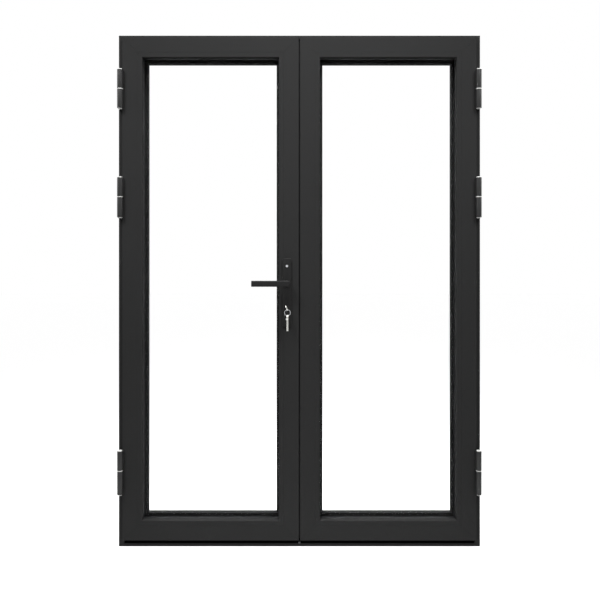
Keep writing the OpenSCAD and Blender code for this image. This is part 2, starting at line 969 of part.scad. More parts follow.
module door_key() {
    color("#b4b5b0")
        key_plane(bow_t)
            difference() {
                union() {
                    translate([0, bow_y]) circle(d = bow_d);
                    translate([-4, bow_y]) square([8, cyl_front + blade_in - bow_y]);
                }
                translate([-bow_d / 2 + 2.5, bow_y - 2.5]) square([bow_d - 5, 5]);
            }
}

module key_ring() {
    color("#b9bcc0")
        translate([ring_x, bow_y, ring_z]) rotate([90, 0, 0])
            rotate_extrude() translate([ring_r, 0]) circle(r = ring_wire, $fn = 24);
}

// Three spare keys that hang edge-on from the ring
module spare_keys() {
    hole_z = ring_z - ring_r - spare_hole_drop;
    color("#b4b5b0")
        for (i = [-1, 0, 1])
            translate([ring_x + i * spare_pitch - spare_t / 2, bow_y, hole_z])
                rotate([90, 0, 90]) linear_extrude(spare_t)
                    difference() {
                        union() {
                            translate([0, -6.5]) circle(r = 12);
                            translate([-4.25, -spare_len + 5.5]) square([8.5, spare_len - 12]);
                        }
                        circle(r = 3.2);
                    }
}

module strike_plate() {
    y0 = lock_mid_y - faceplate_w / 2;
    color("#a9acb0")
        difference() {
            block(
                [face_x, y0, dead_z - dead_h / 2 - plate_past],
                [face_x + faceplate_t, y0 + faceplate_w, latch_z + latch_h / 2 + plate_past]
            );
            bolt_hole(face_x, latch_z, latch_h, 1);
            bolt_hole(face_x, dead_z, dead_h, 1);
        }
}

// Flush bolt at the head of the right leaf, drawn back
module top_flush_bolt() {
    top = frame_h - head_show - lap_over;
    color("#b9bcc0") {
        translate([flush_x, flush_y, top - flush_len]) cylinder(d = flush_d, h = flush_len);
        block(
            [face_x + 1, flush_y - 2.5, top - flush_len + 10],
            [flush_x, flush_y + 2.5, top - flush_len + 22]
        );
    }
}

// Flush bolt at the foot of the right leaf, drawn back
module bottom_flush_bolt() {
    low = leaf_lift + lap_over;
    color("#b9bcc0") {
        translate([flush_x, flush_y, low]) cylinder(d = flush_d, h = flush_len);
        block(
            [face_x + 1, flush_y - 2.5, low + flush_len - 22],
            [flush_x, flush_y + 2.5, low + flush_len - 10]
        );
    }
}

left_jamb();
right_jamb();
head();
threshold();
frame_seals();
left_frame_knuckles();
right_frame_knuckles();
hinge_pins();
hinge_washers();
frame_knuckle_caps();
head_bolt_keep();
sill_bolt_keep();
sill_centre_pad();
left_hinge_stile();
left_lock_stile();
left_top_rail();
left_bottom_rail();
left_corner_cleats();
left_glazing_beads();
left_inner_pane();
left_outer_pane();
left_glass_spacer();
left_glazing_seals();
left_setting_blocks();
left_leaf_knuckles();
left_knuckle_caps();
left_leaf_seals();
right_hinge_stile();
right_meeting_stile();
right_top_rail();
right_bottom_rail();
right_corner_cleats();
right_glazing_beads();
right_inner_pane();
right_outer_pane();
right_glass_spacer();
right_glazing_seals();
right_setting_blocks();
right_leaf_knuckles();
right_knuckle_caps();
right_leaf_seals();
lock_case();
lock_faceplate();
faceplate_screws();
handle_plate();
plate_screws();
outer_plate();
cylinder_body();
lever();
spindle();
latch_bolt();
deadbolt();
cylinder_plug();
door_key();
key_ring();
spare_keys();
strike_plate();
top_flush_bolt();
bottom_flush_bolt();
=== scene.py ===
"""Finish, light and camera for a pair of glazed metal doors in their frame."""

import json
import math

import bmesh
import bpy
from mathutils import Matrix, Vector


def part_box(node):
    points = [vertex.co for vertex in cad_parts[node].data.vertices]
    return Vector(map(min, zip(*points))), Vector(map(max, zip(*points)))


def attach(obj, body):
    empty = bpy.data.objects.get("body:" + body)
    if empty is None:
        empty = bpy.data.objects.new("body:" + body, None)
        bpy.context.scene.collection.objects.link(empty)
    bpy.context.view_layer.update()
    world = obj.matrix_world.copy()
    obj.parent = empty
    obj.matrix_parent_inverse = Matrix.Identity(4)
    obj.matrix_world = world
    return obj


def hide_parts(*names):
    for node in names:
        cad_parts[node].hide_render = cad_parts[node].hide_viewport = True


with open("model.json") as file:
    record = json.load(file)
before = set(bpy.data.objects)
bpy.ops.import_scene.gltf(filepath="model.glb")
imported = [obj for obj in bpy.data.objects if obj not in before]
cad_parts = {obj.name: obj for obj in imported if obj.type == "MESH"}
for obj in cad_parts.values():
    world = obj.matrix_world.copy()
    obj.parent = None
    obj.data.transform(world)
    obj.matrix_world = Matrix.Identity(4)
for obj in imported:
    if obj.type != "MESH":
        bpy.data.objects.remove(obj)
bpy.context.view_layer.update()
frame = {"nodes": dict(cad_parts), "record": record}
nodes = frame["nodes"]

MM = 0.001
SIDES = ("left", "right")

# An edge lies on a plane when its middle is this near to it, in millimetres, and runs along an axis
# when its direction has at least this share of it
NEAR = 0.1
MOSTLY = 0.9


def extent(node):
    """Lowest and highest corner of a solid, in millimetres."""
    low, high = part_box(node)
    return low / MM, high / MM


# Modelling helpers

def deselect():
    bpy.ops.object.select_all(action="DESELECT")


def make_active(obj):
    deselect()
    obj.select_set(True)
    bpy.context.view_layer.objects.active = obj


def settle(obj):
    """Moves an object's place, turn and size into its mesh."""
    make_active(obj)
    bpy.ops.object.transform_apply(location=True, rotation=True, scale=True)
    return obj


def round_bar(radius, start, end, axis, sides=64):
    """A round bar between two places on one axis. Sizes in millimetres."""
    deselect()
    middle = [(a + b) / 2 * MM for a, b in zip(start, end)]
    length = max(abs(b - a) for a, b in zip(start, end)) * MM
    turn = {"X": (0, math.pi / 2, 0), "Y": (math.pi / 2, 0, 0), "Z": (0, 0, 0)}[axis]
    bpy.ops.mesh.primitive_cylinder_add(
        vertices=sides, radius=radius * MM, depth=length, location=middle, rotation=turn
    )
    return settle(bpy.context.active_object)


def block(low, high):
    """A block between two opposite corners. Sizes in millimetres."""
    deselect()
    middle = [(a + b) / 2 * MM for a, b in zip(low, high)]
    bpy.ops.mesh.primitive_cube_add(size=1, location=middle)
    obj = bpy.context.active_object
    obj.scale = [(b - a) * MM for a, b in zip(low, high)]
    return settle(obj)


def round_edges(obj, width, segments, test):
    """Bevels the edges that pass a test of their middle and direction."""
    make_active(obj)
    bpy.ops.object.mode_set(mode="EDIT")
    bpy.ops.mesh.select_mode(type="EDGE")
    bpy.ops.mesh.select_all(action="DESELECT")
    mesh = bmesh.from_edit_mesh(obj.data)
    for edge in mesh.edges:
        a, b = (v.co for v in edge.verts)
        edge.select_set(test((a + b) / 2 / MM, (b - a).normalized()))
    mesh.select_flush_mode()
    bmesh.update_edit_mesh(obj.data)
    bpy.ops.mesh.bevel(offset=width * MM, segments=segments, affect="EDGES", clamp_overlap=True)
    bpy.ops.object.mode_set(mode="OBJECT")
    return obj


def apply_modifier(obj, modifier):
    make_active(obj)
    bpy.ops.object.modifier_apply(modifier=modifier.name)


def combine(obj, tool, operation):
    """Joins or cuts one piece with another, which is used up."""
    modifier = obj.modifiers.new("combine", "BOOLEAN")
    modifier.operation = operation
    modifier.solver = "EXACT"
    modifier.object = tool
    apply_modifier(obj, modifier)
    bpy.data.objects.remove(tool)
    return obj


def soften(obj, width, segments=3, angle=35):
    """Rounds every sharp edge of a new piece."""
    modifier = obj.modifiers.new("soften", "BEVEL")
    modifier.width = width * MM
    modifier.segments = segments
    modifier.limit_method = "ANGLE"
    modifier.angle_limit = math.radians(angle)
    modifier.use_clamp_overlap = True
    modifier.loop_slide = False
    apply_modifier(obj, modifier)
    return obj


def shade(obj, angle=35):
    make_active(obj)
    bpy.ops.object.shade_smooth_by_angle(angle=math.radians(angle))
    return obj


def copy_of(obj, shift=(0, 0, 0), mirror_x=False):
    """A copy with its own mesh, moved and perhaps mirrored across the meeting line."""
    deselect()
    twin = obj.copy()
    twin.data = obj.data.copy()
    bpy.context.scene.collection.objects.link(twin)
    twin.location = [s * MM for s in shift]
    if mirror_x:
        twin.scale.x = -1
    settle(twin)
    if mirror_x:
        bpy.ops.object.mode_set(mode="EDIT")
        bpy.ops.mesh.select_all(action="SELECT")
        bpy.ops.mesh.normals_make_consistent(inside=False)
        bpy.ops.object.mode_set(mode="OBJECT")
    return twin


def join_all(pieces):
    deselect()
    for piece in pieces:
        piece.select_set(True)
    bpy.context.view_layer.objects.active = pieces[0]
    bpy.ops.object.join()
    return bpy.context.active_object


def fit_out(obj, name, body, slot, material, *replaced):
    """Names a finished piece, gives it its finish and puts it on its body."""
    obj.name = name
    obj.data.name = name
    obj.data.materials.clear()
    obj.data.materials.append(material)
    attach(obj, body)
    if replaced:
        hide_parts(*replaced)
    return obj


# Finishes

def add_node(tree, kind, **values):
    item = tree.nodes.new(kind)
    for key, value in values.items():
        if hasattr(item, key):
            setattr(item, key, value)
        else:
            item.inputs[key.replace("_", " ")].default_value = value
    return item


def group_with(name, inputs, outputs):
    group = bpy.data.node_groups.new(name, "ShaderNodeTree")
    for label, default in inputs:
        socket = group.interface.new_socket(label, in_out="INPUT", socket_type="NodeSocketFloat")
        socket.default_value = default
    for label in outputs:
        group.interface.new_socket(label, in_out="OUTPUT", socket_type="NodeSocketFloat")
    return group, group.nodes.new("NodeGroupInput"), group.nodes.new("NodeGroupOutput")


def make_grain_group():
    """Fine pebbled surface: height for bump and a soft mask for tint and gloss."""
    group, given, out = group_with(
        "surface_grain", [("Grain per metre", 900.0), ("Cloud per metre", 6.0)], ["Height", "Mask"]
    )
    place = add_node(group, "ShaderNodeTexCoord")
    grain = add_node(group, "ShaderNodeTexNoise", Detail=3.0, Roughness=0.6)
    cloud = add_node(group, "ShaderNodeTexNoise", Detail=4.0, Roughness=0.55)
    group.links.new(place.outputs["Object"], grain.inputs["Vector"])
    group.links.new(place.outputs["Object"], cloud.inputs["Vector"])
    group.links.new(given.outputs["Grain per metre"], grain.inputs["Scale"])
    group.links.new(given.outputs["Cloud per metre"], cloud.inputs["Scale"])
    group.links.new(grain.outputs["Fac"], out.inputs["Height"])
    group.links.new(cloud.outputs["Fac"], out.inputs["Mask"])
    return group


def make_scratch_group():
    """Hairline marks along one direction, as on rolled or brushed metal."""
    group, given, out = group_with(
        "hairlines", [("Along", 40.0), ("Across", 2600.0)], ["Height", "Mask"]
    )
    place = add_node(group, "ShaderNodeTexCoord")
    stretch = add_node(group, "ShaderNodeCombineXYZ")
    scaled = add_node(group, "ShaderNodeVectorMath", operation="MULTIPLY")
    lines = add_node(group, "ShaderNodeTexNoise", Scale=1.0, Detail=2.0)
    broad = add_node(group, "ShaderNodeTexNoise", Scale=45.0, Detail=3.0)
    group.links.new(given.outputs["Across"], stretch.inputs["X"])
    group.links.new(given.outputs["Across"], stretch.inputs["Y"])
    group.links.new(given.outputs["Along"], stretch.inputs["Z"])
    group.links.new(place.outputs["Object"], scaled.inputs[0])
    group.links.new(stretch.outputs["Vector"], scaled.inputs[1])
    group.links.new(scaled.outputs["Vector"], lines.inputs["Vector"])
    group.links.new(place.outputs["Object"], broad.inputs["Vector"])
    group.links.new(lines.outputs["Fac"], out.inputs["Height"])
    group.links.new(broad.outputs["Fac"], out.inputs["Mask"])
    return group


GRAIN = make_grain_group()
HAIRLINES = make_scratch_group()

# Values between which most of a texture's soft mask lies
MASK_RANGE = (0.3, 0.7)

# Bend of light in the panes, less than real glass has, which keeps reflections off the dark rebates
GLASS_IOR = 1.06
PASSED_LIGHT = (0.95, 0.96, 0.955)
SMEARS_PER_METRE = 3.0
SMEAR_ROUGHNESS = 0.012


def new_material(name):
    material = bpy.data.materials.new(name)
    material.use_nodes = True
    tree = material.node_tree
    return material, tree, tree.nodes["Principled BSDF"], tree.nodes["Material Output"]


def finish_from(name, texture, values, dark, light, rough, bump, metallic=0.0, specular=0.5):
    """A finish whose tint, gloss and relief come from one of the shared textures.

    Relief is given as strength and height in millimetres.
    """
    material, tree, skin, _ = new_material(name)
    source = add_node(tree, "ShaderNodeGroup")
    source.node_tree = texture
    for label, value in values.items():
        source.inputs[label].default_value = value
    tint = add_node(tree, "ShaderNodeMix", data_type="RGBA")
    tint.inputs["A"].default_value = (*dark, 1)
    tint.inputs["B"].default_value = (*light, 1)
    gloss = add_node(tree, "ShaderNodeMapRange")
    gloss.inputs["From Min"].default_value, gloss.inputs["From Max"].default_value = MASK_RANGE
    gloss.inputs["To Min"].default_value, gloss.inputs["To Max"].default_value = rough
    relief = add_node(tree, "ShaderNodeBump")
    strength, height = bump
    relief.inputs["Strength"].default_value = strength
    relief.inputs["Distance"].default_value = height * MM
    tree.links.new(source.outputs["Mask"], tint.inputs["Factor"])
    tree.links.new(source.outputs["Mask"], gloss.inputs["Value"])
    tree.links.new(source.outputs["Height"], relief.inputs["Height"])
    tree.links.new(tint.outputs["Result"], skin.inputs["Base Color"])
    tree.links.new(gloss.outputs["Result"], skin.inputs["Roughness"])
    tree.links.new(relief.outputs["Normal"], skin.inputs["Normal"])
    skin.inputs["Metallic"].default_value = metallic
    skin.inputs["Specular IOR Level"].default_value = specular
    return material


def glass_finish(name):
    """Clear float glass that lets lamp light through to the rebate behind it."""
    material, tree, skin, out = new_material(name)
    skin.inputs["Base Color"].default_value = (1.0, 1.0, 1.0, 1)
    skin.inputs["Transmission Weight"].default_value = 1.0
    skin.inputs["IOR"].default_value = GLASS_IOR
    smears = add_node(tree, "ShaderNodeGroup")
    smears.node_tree = GRAIN
    smears.inputs["Cloud per metre"].default_value = SMEARS_PER_METRE
    film = add_node(tree, "ShaderNodeMapRange")
    film.inputs["To Max"].default_value = SMEAR_ROUGHNESS
    tree.links.new(smears.outputs["Mask"], film.inputs["Value"])
    tree.links.new(film.outputs["Result"], skin.inputs["Roughness"])
    path = add_node(tree, "ShaderNodeLightPath")
    clear = add_node(tree, "ShaderNodeBsdfTransparent")
    clear.inputs["Color"].default_value = (*PASSED_LIGHT, 1)
    either = add_node(tree, "ShaderNodeMixShader")
    tree.links.new(path.outputs["Is Shadow Ray"], either.inputs[0])
    tree.links.new(skin.outputs["BSDF"], either.inputs[1])
    tree.links.new(clear.outputs["BSDF"], either.inputs[2])
    tree.links.new(either.outputs["Shader"], out.inputs["Surface"])
    return material


POWDER_COAT = finish_from(
    "powder_coat", GRAIN, {"Grain per metre": 1100.0, "Cloud per metre": 5.0},
    dark=(0.0345, 0.0346, 0.0348), light=(0.0390, 0.0391, 0.0393),
    rough=(0.80, 0.90), bump=(0.35, 0.06), specular=0.01,
)
SATIN_BLACK = finish_from(
    "satin_black", GRAIN, {"Grain per metre": 2200.0, "Cloud per metre": 30.0},
    dark=(0.0190, 0.0190, 0.0191), light=(0.0230, 0.0230, 0.0231),
    rough=(0.36, 0.48), bump=(0.25, 0.03), specular=0.10,
)
BARREL_COAT = finish_from(
    "barrel_coat", GRAIN, {"Grain per metre": 1800.0, "Cloud per metre": 30.0},
    dark=(0.0260, 0.0261, 0.0263), light=(0.0305, 0.0306, 0.0308),
    rough=(0.32, 0.44), bump=(0.25, 0.03), specular=0.25,
)
SEAL_RUBBER = finish_from(
    "seal_rubber", GRAIN, {"Grain per metre": 1600.0, "Cloud per metre": 25.0},
    dark=(0.006, 0.006, 0.0065), light=(0.011, 0.011, 0.0115),
    rough=(0.72, 0.88), bump=(0.4, 0.05), specular=0.25,
)
WHITE_NYLON = finish_from(
    "white_nylon", GRAIN, {"Grain per metre": 1400.0, "Cloud per metre": 40.0},
    dark=(0.76, 0.76, 0.74), light=(0.84, 0.84, 0.82),
    rough=(0.38, 0.50), bump=(0.15, 0.03),
)
PAD_PLASTIC = finish_from(
    "pad_plastic", GRAIN, {"Grain per metre": 1300.0, "Cloud per metre": 60.0},
    dark=(0.24, 0.245, 0.25), light=(0.33, 0.335, 0.34),
    rough=(0.45, 0.6), bump=(0.3, 0.04),
)
SETTING_PLASTIC = finish_from(
    "setting_plastic", GRAIN, {"Grain per metre": 1300.0, "Cloud per metre": 60.0},
    dark=(0.035, 0.05, 0.075), light=(0.06, 0.08, 0.11),
    rough=(0.5, 0.65), bump=(0.3, 0.04),
)
# Glass spacer: its metal is darkened far below bare aluminium, as painted shade for the shade in the glazing
# rebate
SPACER_METAL_PAINTED_SHADE = finish_from(
    "spacer_metal_painted_shade", HAIRLINES, {"Along": 30.0, "Across": 2200.0},
    dark=(0.060, 0.062, 0.064), light=(0.085, 0.087, 0.090),
    rough=(0.45, 0.58), bump=(0.12, 0.02), metallic=1.0,
)
CAST_ALUMINIUM = finish_from(
    "cast_aluminium", GRAIN, {"Grain per metre": 700.0, "Cloud per metre": 35.0},
    dark=(0.44, 0.45, 0.46), light=(0.56, 0.57, 0.58),
    rough=(0.5, 0.65), bump=(0.4, 0.1), metallic=1.0,
)
BRIGHT_STEEL = finish_from(
    "bright_steel", HAIRLINES, {"Along": 60.0, "Across": 3000.0},
    dark=(0.50, 0.51, 0.53), light=(0.62, 0.63, 0.65),
    rough=(0.24, 0.36), bump=(0.12, 0.015), metallic=1.0,
)
KEY_NICKEL = finish_from(
    "key_nickel", HAIRLINES, {"Along": 120.0, "Across": 3400.0},
    dark=(0.56, 0.56, 0.53), light=(0.70, 0.70, 0.66),
    rough=(0.20, 0.32), bump=(0.1, 0.012), metallic=1.0,
)
BLACK_NICKEL = finish_from(
    "black_nickel", HAIRLINES, {"Along": 200.0, "Across": 2600.0},
    dark=(0.022, 0.022, 0.023), light=(0.032, 0.032, 0.033),
    rough=(0.34, 0.46), bump=(0.12, 0.015), metallic=1.0,
)
CLEAR_GLASS = glass_finish("clear_glass")

FINISHES = {
    "dark_profile": POWDER_COAT,
    "black_hardware": SATIN_BLACK,
    "glass": CLEAR_GLASS,
    "seal_rubber": SEAL_RUBBER,
    "white_nylon": WHITE_NYLON,
    "spacer_aluminium": SPACER_METAL_PAINTED_SHADE,
    "cast_aluminium": CAST_ALUMINIUM,
    "setting_plastic": SETTING_PLASTIC,
    "lock_brass": BLACK_NICKEL,
    "key_nickel": KEY_NICKEL,
    "pad_plastic": PAD_PLASTIC,
    "bright_steel": BRIGHT_STEEL,
}


# Edge rounding, in millimetres, on solids that keep their own shape
EDGE_ROUNDS = {
    "dark_profile": 0.5,
    "white_nylon": 0.4,
    "bright_steel": 0.4,
    "lock_brass": 0.4,
    "seal_rubber": 0.4,
    "pad_plastic": 0.8,
}


# Hair of air between the glass and what it rests on, so that light leaves the glass before it meets them
GLASS_AIR = 0.1

# Points closer than this are one point, faces within the first angle are one flat, and edges past the
# second angle are rounded
WELD_GAP = 0.01
FLAT_ANGLE = math.radians(1)
SHARP_ANGLE = math.radians(40)


def dress_solid(obj, slot):
    """Finish and small edge rounding for a solid that is shown as it is."""
    obj.data.materials.clear()
    obj.data.materials.append(FINISHES[slot])
    weld = obj.modifiers.new("weld", "WELD")
    weld.merge_threshold = WELD_GAP * MM
    if slot == "glass":
        air = obj.modifiers.new("air", "DISPLACE")
        air.mid_level = 0.0
        air.strength = -GLASS_AIR * MM
    width = EDGE_ROUNDS.get(slot)
    if width:
        flats = obj.modifiers.new("flats", "DECIMATE")
        flats.decimate_type = "DISSOLVE"
        flats.angle_limit = FLAT_ANGLE
        rounding = obj.modifiers.new("rounding", "BEVEL")
        rounding.width = width * MM
        rounding.segments = 2
        rounding.limit_method = "ANGLE"
        rounding.angle_limit = SHARP_ANGLE
        rounding.use_clamp_overlap = True
        rounding.loop_slide = False


for entry in frame["record"]["subparts"]:
    dress_solid(nodes[entry["node"]], entry["material_slot"])


# Hinges: the barrel, its foot and its caps are modelled once and copied. Sizes in millimetres

WASHER_T = 3.5
HINGE_STEP = 440.0
LEAF_KNUCKLE = 77.0
LOWER_KNUCKLES = (95.0, 81.0, 76.0)
BARREL_RIM = 0.9
CAP_R = 9.0
CAP_T = 4.0
CAP_RIM = 2.2

washers_low, washers_high = extent("hinge_washers")
BARREL_R = (washers_high.y - washers_low.y) / 2
HINGE_X = washers_high.x - BARREL_R
HINGE_Y = (washers_low.y + washers_high.y) / 2
TOP_WASHER_Z = washers_high.z - WASHER_T / 2
WASHER_ZS = (washers_low.z + WASHER_T / 2, TOP_WASHER_Z - HINGE_STEP, TOP_WASHER_Z)
FRAME_FACE = extent("left_jamb")[0].y
LEAF_FACE, LEAF_BACK = (corner.y for corner in extent("left_lock_stile"))

# Sides of the two kinds of foot, from the hinge axis towards the middle of the doors
FRAME_FOOT = (1 - BARREL_R, 3.0)
LEAF_FOOT = (4.6, BARREL_R - 0.3)


def knuckle(z0, z1, foot_sides, face):
    """A barrel with rounded rims and a foot that joins it to the face behind it."""
    barrel = round_bar(BARREL_R, (-HINGE_X, HINGE_Y, z0), (-HINGE_X, HINGE_Y, z1), "Z", 72)
    outer, inner = (side - HINGE_X for side in foot_sides)
    foot = block((outer, HINGE_Y, z0), (inner, face, z1))
    combine(barrel, foot, "UNION")
    return shade(soften(barrel, BARREL_RIM, segments=3, angle=50))


def hinge_cap(z0, z1, top):
    """A shallow domed cap: its outer rim is rounded over."""
    cap = round_bar(CAP_R, (-HINGE_X, HINGE_Y, z0), (-HINGE_X, HINGE_Y, z1), "Z", 48)
    rim = z1 if top else z0
    round_edges(cap, CAP_RIM, 4, lambda middle, way: abs(middle.z - rim) < NEAR)
    return shade(cap, 50)


def frame_knuckle(length):
    top = -WASHER_T / 2
    return knuckle(top - length, top, FRAME_FOOT, FRAME_FACE)


def leaf_knuckle():
    low = WASHER_T / 2
    return knuckle(low, low + LEAF_KNUCKLE, LEAF_FOOT, LEAF_FACE)


def at_hinges(model, side, drops=(0.0, 0.0, 0.0)):
    """One copy of a piece at each washer height, less its drop, joined into one piece."""
    copies = [copy_of(model, (0, 0, z - drop), side == "right") for z, drop in zip(WASHER_ZS, drops)]
    return join_all(copies)


LEAF_KNUCKLE_TOP = WASHER_T / 2 + LEAF_KNUCKLE
leaf_cap = hinge_cap(LEAF_KNUCKLE_TOP, LEAF_KNUCKLE_TOP + CAP_T, True)
frame_cap = hinge_cap(-WASHER_T / 2 - CAP_T, -WASHER_T / 2, False)
upper = leaf_knuckle()
lowers = [frame_knuckle(length) for length in LOWER_KNUCKLES]

for side in SIDES:
    right = side == "right"
    barrels = [copy_of(model, (0, 0, z), right) for model, z in zip(lowers, WASHER_ZS)]
    fit_out(
        join_all(barrels), f"{side}_frame_barrels", "frame",
        "black_hardware", BARREL_COAT, f"{side}_frame_knuckles",
    )
    fit_out(
        at_hinges(upper, side), f"{side}_leaf_barrels", f"{side}_leaf",
        "black_hardware", BARREL_COAT, f"{side}_leaf_knuckles",
    )
    fit_out(
        at_hinges(leaf_cap, side), f"{side}_barrel_caps", f"{side}_leaf",
        "white_nylon", WHITE_NYLON, f"{side}_knuckle_caps",
    )
fit_out(
    join_all([at_hinges(frame_cap, side, LOWER_KNUCKLES) for side in SIDES]),
    "lower_barrel_caps", "frame", "white_nylon", WHITE_NYLON, "frame_knuckle_caps",
)
for model in [leaf_cap, frame_cap, upper, *lowers]:
    bpy.data.objects.remove(model)


# Handle plates, lever and lock. Sizes in millimetres

plate_low, plate_high = extent("handle_plate")
lever_low, lever_high = extent("lever")
plug_low, plug_high = extent("cylinder_plug")
SCREW_END = 31.0
SCREW_SEAT_R = 6.0
SCREW_SEAT_DEEP = 3.0
SCREW_HOLE_R = 2.75
SCREW_THREAD_R = 2.6
THREAD_SKIN = 2.0
PLATE_CORNER = 8.0
PLATE_EDGE = 2.0
CYL_HOLE_R = 8.8
CYL_STEM_HALF = 5.3
CYL_DROP = 24.8
JOURNAL_R = 9.0
JOURNAL_PLAY = 0.05
ARM_T = 13.0
ARM_EDGE = 4.0
ARM_END_EDGE = 1.5
NECK_EDGE = 0.8
NECK_GAP = 0.3
SOCKET_HALF = 4.0
SOCKET_DEEP = 20.0
CUT_PAST = 2.0

HANDLE_X = (plate_low.x + plate_high.x) / 2
PLATE_FRONT = plate_low.y
OUTER_BACK = extent("outer_plate")[1].y
SCREW_ZS = (plate_low.z + SCREW_END, plate_high.z - SCREW_END)
LEVER_Z = (lever_low.z + lever_high.z) / 2
NECK_R = (lever_high.z - lever_low.z) / 2
ARM_Y = lever_low.y + ARM_T / 2
KEY_Z = (plug_low.z + plug_high.z) / 2
CYL_FRONT = plug_low.y


def rod_through(radius, front, back, z, sides=64):
    """A round bar through the leaf on the handle's centre line."""
    return round_bar(radius, (HANDLE_X, front, z), (HANDLE_X, back, z), "Y", sides)


def long_plate(front, back, face):
    """A long plate with round corners and a softened face."""
    plate = block((plate_low.x, front, plate_low.z), (plate_high.x, back, plate_high.z))
    round_edges(plate, PLATE_CORNER, 10, lambda middle, way: abs(way.y) > MOSTLY)
    return round_edges(plate, PLATE_EDGE, 4, lambda middle, way: abs(middle.y - face) < NEAR)


def cylinder_cut(front, back):
    """The outline of the lock cylinder, a little larger than the cylinder."""
    head = rod_through(CYL_HOLE_R, front, back, KEY_Z, 48)
    stem_low = (HANDLE_X - CYL_STEM_HALF, front, KEY_Z - CYL_DROP)
    stem_high = (HANDLE_X + CYL_STEM_HALF, back, KEY_Z)
    return combine(head, block(stem_low, stem_high), "UNION")


def inside_plate():
    plate = long_plate(PLATE_FRONT, LEAF_FACE, PLATE_FRONT)
    front, back = PLATE_FRONT - CUT_PAST, LEAF_FACE + CUT_PAST
    combine(plate, rod_through(JOURNAL_R + JOURNAL_PLAY, front, back, LEVER_Z), "DIFFERENCE")
    combine(plate, cylinder_cut(front, back), "DIFFERENCE")
    for z in SCREW_ZS:
        seat = rod_through(SCREW_SEAT_R, front, PLATE_FRONT + SCREW_SEAT_DEEP, z, 48)
        combine(plate, seat, "DIFFERENCE")
        combine(plate, rod_through(SCREW_HOLE_R, PLATE_FRONT, back, z, 32), "DIFFERENCE")
    return shade(plate, 30)


def outside_plate():
    plate = long_plate(LEAF_BACK, OUTER_BACK, OUTER_BACK)
    front = LEAF_BACK - CUT_PAST
    combine(plate, cylinder_cut(front, OUTER_BACK + CUT_PAST), "DIFFERENCE")
    for z in SCREW_ZS:
        thread = rod_through(SCREW_THREAD_R, front, OUTER_BACK - THREAD_SKIN, z, 32)
        combine(plate, thread, "DIFFERENCE")
    return shade(plate, 30)


def lever_handle():
    """A straight arm with round edges on a round neck."""
    arm = block((lever_low.x, lever_low.y, lever_low.z), (lever_high.x, lever_low.y + ARM_T, lever_high.z))
    round_edges(arm, ARM_EDGE, 6, lambda middle, way: abs(way.x) > MOSTLY)
    ends = (lever_low.x, lever_high.x)
    round_edges(arm, ARM_END_EDGE, 3, lambda middle, way: min(abs(middle.x - end) for end in ends) < NEAR)
    foot = PLATE_FRONT - NECK_GAP
    neck = rod_through(NECK_R, ARM_Y, foot, LEVER_Z, 72)
    round_edges(neck, NECK_EDGE, 3, lambda middle, way: abs(middle.y - foot) < NEAR)
    combine(arm, neck, "UNION")
    combine(arm, rod_through(JOURNAL_R, foot - 1, LEAF_FACE, LEVER_Z), "UNION")
    socket = block(
        (HANDLE_X - SOCKET_HALF, PLATE_FRONT - SOCKET_DEEP, LEVER_Z - SOCKET_HALF),
        (HANDLE_X + SOCKET_HALF, LEAF_FACE + 1, LEVER_Z + SOCKET_HALF),
    )
    combine(arm, socket, "DIFFERENCE")
    return shade(arm, 40)


fit_out(inside_plate(), "inside_plate", "left_leaf", "black_hardware", SATIN_BLACK, "handle_plate")
fit_out(outside_plate(), "outside_plate", "left_leaf", "black_hardware", SATIN_BLACK, "outer_plate")
fit_out(lever_handle(), "lever_handle", "lever_set", "black_hardware", SATIN_BLACK, "lever")


# Keys and ring. Sizes in millimetres

KEY_TILT = math.radians(22)
BOW_R = 13.0
BOW_T = 3.2
BOW_STANDOFF = 7.0
BOW_Y = CYL_FRONT - BOW_STANDOFF - BOW_R
BOW_SLOT_HALF = 2.5
BOW_SLOT_EDGE = 2.0
BOW_RIM = 2.5
KEY_BLADE_W = 8.0
KEY_REACH = 30.0
RING_R = 12.0
RING_WIRE_R = 0.85
RING_TURN = math.radians(700)
RING_INSET = 5.0
RING_HANG = BOW_R - RING_INSET
RING_X = HANDLE_X + RING_HANG * math.sin(KEY_TILT)
RING_Z = KEY_Z - RING_HANG * math.cos(KEY_TILT) - RING_R
KEY_EDGE = 0.3
BLADE_STEP = 0.1
NOTCH_STEP = 4.0
NOTCH_HALF = 1.3
GROOVE_DEEP = 0.45
GROOVE_SIDES = (-1.2, 0.4)
GROOVE_PAST = 1.0
SPARE_LEN = 66.0
SPARE_T = 2.2
SPARE_PITCH = 2.4
SPARE_BOW_R = 12.0
SPARE_BOW_DROP = 6.5
SPARE_BLADE_W = 8.5
SPARE_HOLE_R = 3.2
SPARE_HOLE_DROP = 1.0
SPARE_TIP = SPARE_BOW_R - SPARE_BOW_DROP - SPARE_LEN
SPARE_TEETH = ((2.2, 1.2, 2.6, 1.6, 2.0), (1.4, 2.4, 1.0, 2.2, 1.5), (2.6, 1.5, 1.9, 1.1, 2.3))


